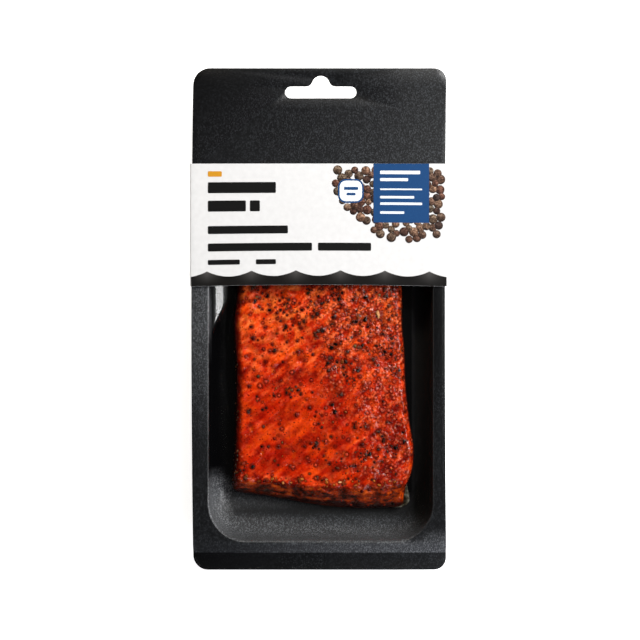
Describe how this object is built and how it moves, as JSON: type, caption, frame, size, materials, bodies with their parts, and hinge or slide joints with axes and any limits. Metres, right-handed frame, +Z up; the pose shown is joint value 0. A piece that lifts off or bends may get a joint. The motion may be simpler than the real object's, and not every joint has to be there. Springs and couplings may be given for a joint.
{
  "type": "hot smoked trout fillet in hang pack",
  "caption": "Hot smoked trout fillet portion with cracked pepper, vacuum sealed under clear film in a black formed tray with a hang slot and a label band.",
  "frame": {"origin": "under the middle of the pack, on the surface that it lies on", "axes": "+X to the pack's right, +Y along the pack to its hang slot, +Z up out of its shown side"},
  "size_m": [0.1154, 0.225, 0.0205],
  "materials": {
    "tray_sheet": "black formed sheet with a fine sparkling grain",
    "fish_skin": "silver grey fish skin, wet",
    "fish_flesh": "glossy smoked orange red flesh",
    "cracked_pepper": "cracked black pepper",
    "herbs_and_spice": "brown, gold and olive spice grains",
    "clear_film": "thin clear glossy film",
    "label_card": "white coated paper",
    "label_print": "printed fields of plain colour"
  },
  "bodies": {
    "root": {"tray": "tray_sheet", "fish_skin": "fish_skin", "fillet": "fish_flesh", "film": "clear_film", "label": "label_card"}
  },
  "joints": []
}
